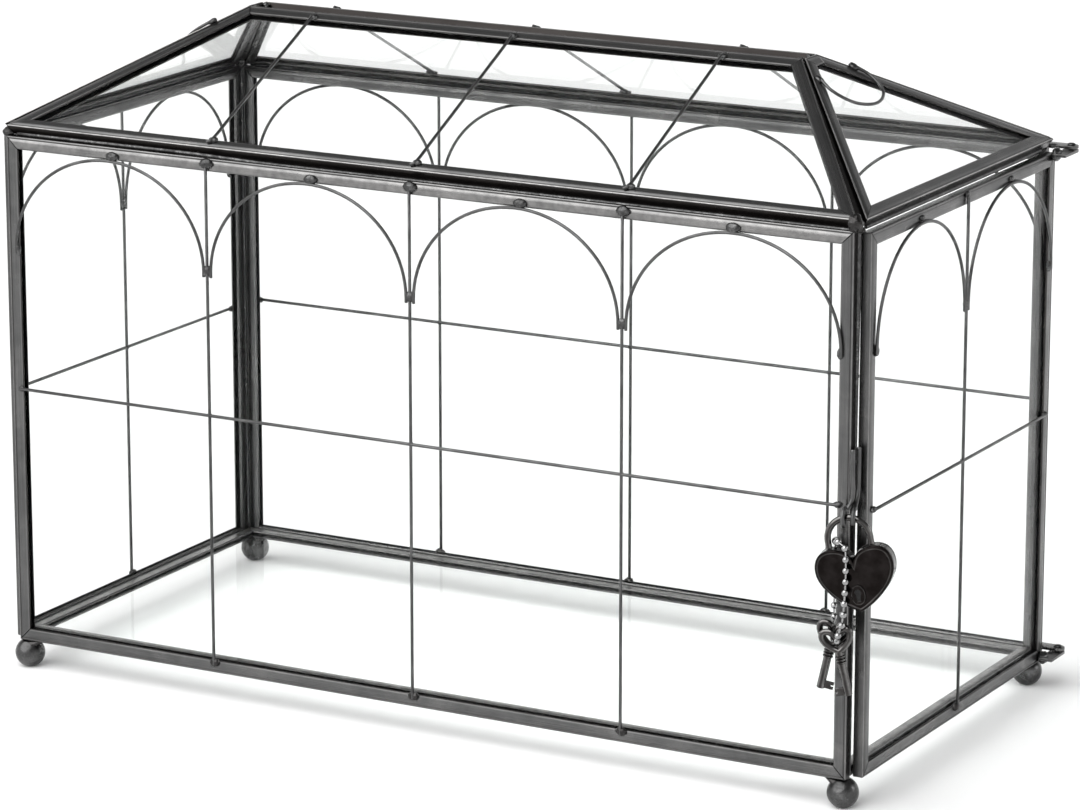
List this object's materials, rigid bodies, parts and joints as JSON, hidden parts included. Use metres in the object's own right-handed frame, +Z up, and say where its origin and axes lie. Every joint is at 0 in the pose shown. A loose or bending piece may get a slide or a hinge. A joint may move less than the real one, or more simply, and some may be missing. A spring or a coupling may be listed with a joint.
{
  "type": "wedding card box",
  "caption": "Hip-roofed glass card box in dark metal channel frames with arched wire tracery, a ridge card slot, an end door and a heart padlock with keys.",
  "frame": {"origin": "centre of the whole footprint, hinge lugs and hanging padlock included, on the surface that the feet stand on", "axes": "+X along the box's length towards the door, +Y from the front wall to the back wall, +Z up"},
  "size_m": [0.3459, 0.173, 0.2305],
  "materials": {
    "channel": "satin gunmetal patina on rolled channel",
    "tracery_wire": "satin gunmetal wire",
    "solder": "dark patinated solder, slightly lumpy",
    "pane": "clear float glass",
    "black_nickel": "glossy black nickel plate",
    "ball_chain": "bright gunmetal plate"
  },
  "bodies": {
    "case": {"front_frame": "channel", "front_glass": "pane", "front_grid": "tracery_wire", "front_arch_1": "tracery_wire", "front_arch_2": "tracery_wire", "front_arch_3": "tracery_wire", "front_arch_4": "tracery_wire", "back_frame": "channel", "back_glass": "pane", "back_grid": "tracery_wire", "back_arch_1": "tracery_wire", "back_arch_2": "tracery_wire", "back_arch_3": "tracery_wire", "back_arch_4": "tracery_wire", "left_frame": "channel", "left_glass": "pane", "left_grid": "tracery_wire", "left_arch_1": "tracery_wire", "left_arch_2": "tracery_wire", "floor_frame": "channel", "floor_glass": "pane", "roof_front_frame": "channel", "roof_front_glass": "pane", "roof_front_bar_1": "tracery_wire", "roof_front_bar_2": "tracery_wire", "roof_front_bar_3": "tracery_wire", "roof_back_frame": "channel", "roof_back_glass": "pane", "roof_back_bar_1": "tracery_wire", "roof_back_bar_2": "tracery_wire", "roof_back_bar_3": "tracery_wire", "roof_left_frame": "channel", "roof_left_glass": "pane", "roof_left_loop": "tracery_wire", "roof_right_frame": "channel", "roof_right_glass": "pane", "roof_right_loop": "tracery_wire", "foot_front_left": "solder", "foot_front_right": "solder", "foot_back_left": "solder", "foot_back_right": "solder", "upper_body_lug": "channel", "upper_hinge_pin": "solder", "lower_body_lug": "channel", "lower_hinge_pin": "solder", "front_staple": "tracery_wire"},
    "door": {"door_frame": "channel", "door_glass": "pane", "door_grid": "tracery_wire", "door_arch_1": "tracery_wire", "door_arch_2": "tracery_wire", "upper_door_lug": "channel", "lower_door_lug": "channel", "door_hook": "tracery_wire"},
    "shackle": {"padlock_shackle": "black_nickel"},
    "lock_body": {"padlock_body": "black_nickel"},
    "chain": {"key_chain": "ball_chain"},
    "first_key": {"key_1": "black_nickel"},
    "second_key": {"key_2": "black_nickel"}
  },
  "joints": [
    {"name": "door_hinge", "type": "hinge", "parent": "case", "child": "door", "pos_m": [0.1623, 0.084, 0.1], "axis": [0, 0, 1], "range_deg": [0, 180]},
    {"name": "padlock_swing", "type": "hinge", "parent": "case", "child": "shackle", "pos_m": [0.1578, -0.0798, 0.09985], "axis": [-0.9703, -0.2419, 0], "range_deg": [0, 100]},
    {"name": "shackle_release", "type": "slide", "parent": "shackle", "child": "lock_body", "axis": [0.1768, 0.0441, -0.9833], "range_m": [0, 0.006]},
    {"name": "chain_swing", "type": "hinge", "parent": "lock_body", "child": "chain", "pos_m": [0.15346, -0.08057, 0.09195], "axis": [0.2419, -0.9703, 0], "range_deg": [-6, 6]},
    {"name": "first_key_swing", "type": "hinge", "parent": "chain", "child": "first_key", "pos_m": [0.15562, -0.08302, 0.05955], "axis": [0.2419, -0.9703, 0], "range_deg": [-8, 8]},
    {"name": "second_key_swing", "type": "hinge", "parent": "chain", "child": "second_key", "pos_m": [0.15334, -0.08091, 0.06055], "axis": [0.2419, -0.9703, 0], "range_deg": [-8, 8]}
  ]
}
